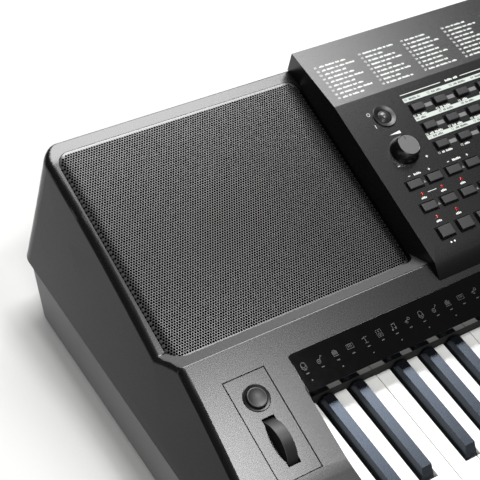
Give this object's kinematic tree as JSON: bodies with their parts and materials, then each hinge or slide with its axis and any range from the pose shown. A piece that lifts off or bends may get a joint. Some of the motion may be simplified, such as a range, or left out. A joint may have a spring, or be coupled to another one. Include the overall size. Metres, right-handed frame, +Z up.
{
  "type": "arranger keyboard",
  "caption": "Long electronic keyboard with piano-style keys, a raised control console between two perforated speaker pods, a glossy strip behind the keys and a wheel panel at the left.",
  "frame": {"origin": "on the table under the middle of the instrument's outline", "axes": "+X along the keys from low to high, +Y to the rear, +Z up"},
  "size_m": [1.008, 0.4077, 0.148],
  "materials": {
    "case_abs": "satin charcoal, finely textured",
    "lower_abs": "satin black, finely textured",
    "console_abs": "satin dark charcoal",
    "panel_abs": "satin",
    "grille_steel": "black powder coat, perforated",
    "strip_gloss": "polished black",
    "white_key_abs": "smooth",
    "black_key_abs": "smooth",
    "button_abs": "satin",
    "power_abs": "smooth",
    "knob_gloss": "polished side, satin top",
    "lamp_red": "clear red",
    "window_glass": "smoked",
    "display_panel": "smooth",
    "foot_rubber": "matte",
    "dome_rubber": "matte",
    "wheel_rubber": "matte",
    "screw_steel": "zinc plated",
    "frame_steel": "plated",
    "cone_paper": "pressed paper",
    "magnet_ferrite": "ground",
    "chassis_abs": "moulded, ribbed",
    "rod_steel": "drawn",
    "key_felt": "felt",
    "board_laminate": "solder mask",
    "cable_vinyl": "smooth",
    "pot_metal": "plain",
    "socket_plastic": "smooth"
  },
  "bodies": {
    "case": {"upper_case": "case_abs", "lower_case": "lower_abs", "console_panel": "console_abs", "grille_left": "grille_steel", "grille_right": "grille_steel", "key_icon_strip": "strip_gloss", "wheel_panel": "panel_abs", "rubber_feet": "foot_rubber", "case_screws": "screw_steel", "speaker_frames": "frame_steel", "speaker_cones": "cone_paper", "speaker_magnets": "magnet_ferrite", "keybed_chassis": "chassis_abs", "key_pivot_rod": "rod_steel", "key_felt_strips": "key_felt", "key_contact_board": "board_laminate", "key_return_domes": "dome_rubber", "main_board": "board_laminate", "panel_board": "board_laminate", "ribbon_cable": "cable_vinyl", "display_module": "display_panel", "display_window": "window_glass", "rear_sockets": "socket_plastic", "indicator_leds": "lamp_red", "wheel_bracket": "panel_abs", "control_pots": "pot_metal"},
    "key_c_octave_1_body": {"key_c_octave_1": "white_key_abs"},
    "key_c_sharp_octave_1_body": {"key_c_sharp_octave_1": "black_key_abs"},
    "key_d_octave_1_body": {"key_d_octave_1": "white_key_abs"},
    "key_d_sharp_octave_1_body": {"key_d_sharp_octave_1": "black_key_abs"},
    "key_e_octave_1_body": {"key_e_octave_1": "white_key_abs"},
    "key_f_octave_1_body": {"key_f_octave_1": "white_key_abs"},
    "key_f_sharp_octave_1_body": {"key_f_sharp_octave_1": "black_key_abs"},
    "key_g_octave_1_body": {"key_g_octave_1": "white_key_abs"},
    "key_g_sharp_octave_1_body": {"key_g_sharp_octave_1": "black_key_abs"},
    "key_a_octave_1_body": {"key_a_octave_1": "white_key_abs"},
    "key_a_sharp_octave_1_body": {"key_a_sharp_octave_1": "black_key_abs"},
    "key_b_octave_1_body": {"key_b_octave_1": "white_key_abs"},
    "white_keys_octave_2_body": {"white_keys_octave_2": "white_key_abs"},
    "white_keys_octave_3_body": {"white_keys_octave_3": "white_key_abs"},
    "white_keys_octave_4_body": {"white_keys_octave_4": "white_key_abs"},
    "white_keys_octave_5_body": {"white_keys_octave_5": "white_key_abs"},
    "black_keys_octave_2_body": {"black_keys_octave_2": "black_key_abs"},
    "black_keys_octave_3_body": {"black_keys_octave_3": "black_key_abs"},
    "black_keys_octave_4_body": {"black_keys_octave_4": "black_key_abs"},
    "black_keys_octave_5_body": {"black_keys_octave_5": "black_key_abs"},
    "style_buttons_body": {"style_buttons": "button_abs"},
    "level_buttons_body": {"level_buttons": "button_abs"},
    "sync_buttons_body": {"sync_buttons": "button_abs"},
    "start_buttons_body": {"start_buttons": "button_abs"},
    "tone_buttons_body": {"tone_buttons": "button_abs"},
    "number_buttons_body": {"number_buttons": "button_abs"},
    "function_buttons_body": {"function_buttons": "button_abs"},
    "pitch_wheel_body": {"pitch_wheel": "wheel_rubber"},
    "mod_button_body": {"mod_button": "button_abs"},
    "power_button_body": {"power_button": "power_abs"},
    "volume_knob_body": {"volume_knob": "knob_gloss"},
    "data_dial_body": {"data_dial": "knob_gloss"}
  },
  "joints": [
    {"name": "key_c_octave_1_pivot", "type": "hinge", "parent": "case", "child": "key_c_octave_1_body", "pos_m": [0.0208, -0.0044, 0.053], "axis": [1, 0, 0], "range_deg": [0, 3.1], "stiffness_Nm_per_rad": 1.1, "springref_deg": -3.15},
    {"name": "key_c_sharp_octave_1_pivot", "type": "hinge", "parent": "case", "child": "key_c_sharp_octave_1_body", "pos_m": [0.0208, -0.0044, 0.053], "axis": [1, 0, 0], "range_deg": [0, 3.1], "stiffness_Nm_per_rad": 1.1, "springref_deg": -3.15},
    {"name": "key_d_octave_1_pivot", "type": "hinge", "parent": "case", "child": "key_d_octave_1_body", "pos_m": [0.0208, -0.0044, 0.053], "axis": [1, 0, 0], "range_deg": [0, 3.1], "stiffness_Nm_per_rad": 1.1, "springref_deg": -3.15},
    {"name": "key_d_sharp_octave_1_pivot", "type": "hinge", "parent": "case", "child": "key_d_sharp_octave_1_body", "pos_m": [0.0208, -0.0044, 0.053], "axis": [1, 0, 0], "range_deg": [0, 3.1], "stiffness_Nm_per_rad": 1.1, "springref_deg": -3.15},
    {"name": "key_e_octave_1_pivot", "type": "hinge", "parent": "case", "child": "key_e_octave_1_body", "pos_m": [0.0208, -0.0044, 0.053], "axis": [1, 0, 0], "range_deg": [0, 3.1], "stiffness_Nm_per_rad": 1.1, "springref_deg": -3.15},
    {"name": "key_f_octave_1_pivot", "type": "hinge", "parent": "case", "child": "key_f_octave_1_body", "pos_m": [0.0208, -0.0044, 0.053], "axis": [1, 0, 0], "range_deg": [0, 3.1], "stiffness_Nm_per_rad": 1.1, "springref_deg": -3.15},
    {"name": "key_f_sharp_octave_1_pivot", "type": "hinge", "parent": "case", "child": "key_f_sharp_octave_1_body", "pos_m": [0.0208, -0.0044, 0.053], "axis": [1, 0, 0], "range_deg": [0, 3.1], "stiffness_Nm_per_rad": 1.1, "springref_deg": -3.15},
    {"name": "key_g_octave_1_pivot", "type": "hinge", "parent": "case", "child": "key_g_octave_1_body", "pos_m": [0.0208, -0.0044, 0.053], "axis": [1, 0, 0], "range_deg": [0, 3.1], "stiffness_Nm_per_rad": 1.1, "springref_deg": -3.15},
    {"name": "key_g_sharp_octave_1_pivot", "type": "hinge", "parent": "case", "child": "key_g_sharp_octave_1_body", "pos_m": [0.0208, -0.0044, 0.053], "axis": [1, 0, 0], "range_deg": [0, 3.1], "stiffness_Nm_per_rad": 1.1, "springref_deg": -3.15},
    {"name": "key_a_octave_1_pivot", "type": "hinge", "parent": "case", "child": "key_a_octave_1_body", "pos_m": [0.0208, -0.0044, 0.053], "axis": [1, 0, 0], "range_deg": [0, 3.1], "stiffness_Nm_per_rad": 1.1, "springref_deg": -3.15},
    {"name": "key_a_sharp_octave_1_pivot", "type": "hinge", "parent": "case", "child": "key_a_sharp_octave_1_body", "pos_m": [0.0208, -0.0044, 0.053], "axis": [1, 0, 0], "range_deg": [0, 3.1], "stiffness_Nm_per_rad": 1.1, "springref_deg": -3.15},
    {"name": "key_b_octave_1_pivot", "type": "hinge", "parent": "case", "child": "key_b_octave_1_body", "pos_m": [0.0208, -0.0044, 0.053], "axis": [1, 0, 0], "range_deg": [0, 3.1], "stiffness_Nm_per_rad": 1.1, "springref_deg": -3.15},
    {"name": "white_keys_octave_2_pivot", "type": "hinge", "parent": "case", "child": "white_keys_octave_2_body", "pos_m": [0.0208, -0.0044, 0.053], "axis": [1, 0, 0], "range_deg": [0, 3.1], "stiffness_Nm_per_rad": 7.7, "springref_deg": -3.15},
    {"name": "white_keys_octave_3_pivot", "type": "hinge", "parent": "case", "child": "white_keys_octave_3_body", "pos_m": [0.0208, -0.0044, 0.053], "axis": [1, 0, 0], "range_deg": [0, 3.1], "stiffness_Nm_per_rad": 7.7, "springref_deg": -3.15},
    {"name": "white_keys_octave_4_pivot", "type": "hinge", "parent": "case", "child": "white_keys_octave_4_body", "pos_m": [0.0208, -0.0044, 0.053], "axis": [1, 0, 0], "range_deg": [0, 3.1], "stiffness_Nm_per_rad": 7.7, "springref_deg": -3.15},
    {"name": "white_keys_octave_5_pivot", "type": "hinge", "parent": "case", "child": "white_keys_octave_5_body", "pos_m": [0.0208, -0.0044, 0.053], "axis": [1, 0, 0], "range_deg": [0, 3.1], "stiffness_Nm_per_rad": 8.8, "springref_deg": -3.15},
    {"name": "black_keys_octave_2_pivot", "type": "hinge", "parent": "case", "child": "black_keys_octave_2_body", "pos_m": [0.0208, -0.0044, 0.053], "axis": [1, 0, 0], "range_deg": [0, 3.1], "stiffness_Nm_per_rad": 5.5, "springref_deg": -3.15},
    {"name": "black_keys_octave_3_pivot", "type": "hinge", "parent": "case", "child": "black_keys_octave_3_body", "pos_m": [0.0208, -0.0044, 0.053], "axis": [1, 0, 0], "range_deg": [0, 3.1], "stiffness_Nm_per_rad": 5.5, "springref_deg": -3.15},
    {"name": "black_keys_octave_4_pivot", "type": "hinge", "parent": "case", "child": "black_keys_octave_4_body", "pos_m": [0.0208, -0.0044, 0.053], "axis": [1, 0, 0], "range_deg": [0, 3.1], "stiffness_Nm_per_rad": 5.5, "springref_deg": -3.15},
    {"name": "black_keys_octave_5_pivot", "type": "hinge", "parent": "case", "child": "black_keys_octave_5_body", "pos_m": [0.0208, -0.0044, 0.053], "axis": [1, 0, 0], "range_deg": [0, 3.1], "stiffness_Nm_per_rad": 5.5, "springref_deg": -3.15},
    {"name": "style_buttons_press", "type": "slide", "parent": "case", "child": "style_buttons_body", "axis": [0, 0.2426, -0.9701], "range_m": [0, 0.0012], "stiffness_N_per_m": 400, "springref_m": -0.002},
    {"name": "level_buttons_press", "type": "slide", "parent": "case", "child": "level_buttons_body", "axis": [0, 0.2426, -0.9701], "range_m": [0, 0.0012], "stiffness_N_per_m": 400, "springref_m": -0.002},
    {"name": "sync_buttons_press", "type": "slide", "parent": "case", "child": "sync_buttons_body", "axis": [0, 0.2426, -0.9701], "range_m": [0, 0.0012], "stiffness_N_per_m": 400, "springref_m": -0.002},
    {"name": "start_buttons_press", "type": "slide", "parent": "case", "child": "start_buttons_body", "axis": [0, 0.2426, -0.9701], "range_m": [0, 0.0012], "stiffness_N_per_m": 400, "springref_m": -0.002},
    {"name": "tone_buttons_press", "type": "slide", "parent": "case", "child": "tone_buttons_body", "axis": [0, 0.2426, -0.9701], "range_m": [0, 0.0012], "stiffness_N_per_m": 400, "springref_m": -0.002},
    {"name": "number_buttons_press", "type": "slide", "parent": "case", "child": "number_buttons_body", "axis": [0, 0.2426, -0.9701], "range_m": [0, 0.0012], "stiffness_N_per_m": 400, "springref_m": -0.002},
    {"name": "function_buttons_press", "type": "slide", "parent": "case", "child": "function_buttons_body", "axis": [0, 0.2426, -0.9701], "range_m": [0, 0.0012], "stiffness_N_per_m": 400, "springref_m": -0.002},
    {"name": "power_button_press", "type": "slide", "parent": "case", "child": "power_button_body", "axis": [0, 0.2426, -0.9701], "range_m": [0, 0.002], "stiffness_N_per_m": 400, "springref_m": -0.002},
    {"name": "mod_button_press", "type": "slide", "parent": "case", "child": "mod_button_body", "axis": [0, 0.2334, -0.9724], "range_m": [0, 0.0015], "stiffness_N_per_m": 400, "springref_m": -0.002},
    {"name": "volume_knob_turn", "type": "hinge", "parent": "case", "child": "volume_knob_body", "pos_m": [-0.2173, 0.08758, 0.12851], "axis": [0, -0.2426, 0.9701], "range_deg": [-175, 95]},
    {"name": "data_dial_turn", "type": "hinge", "parent": "case", "child": "data_dial_body", "pos_m": [0.05945, 0.0317, 0.11454], "axis": [0, -0.2426, 0.9701], "continuous": true},
    {"name": "pitch_wheel_turn", "type": "hinge", "parent": "case", "child": "pitch_wheel_body", "pos_m": [-0.4409, -0.07067, 0.06886], "axis": [1, 0, 0], "range_deg": [-28, 28], "stiffness_Nm_per_rad": 0.06}
  ]
}
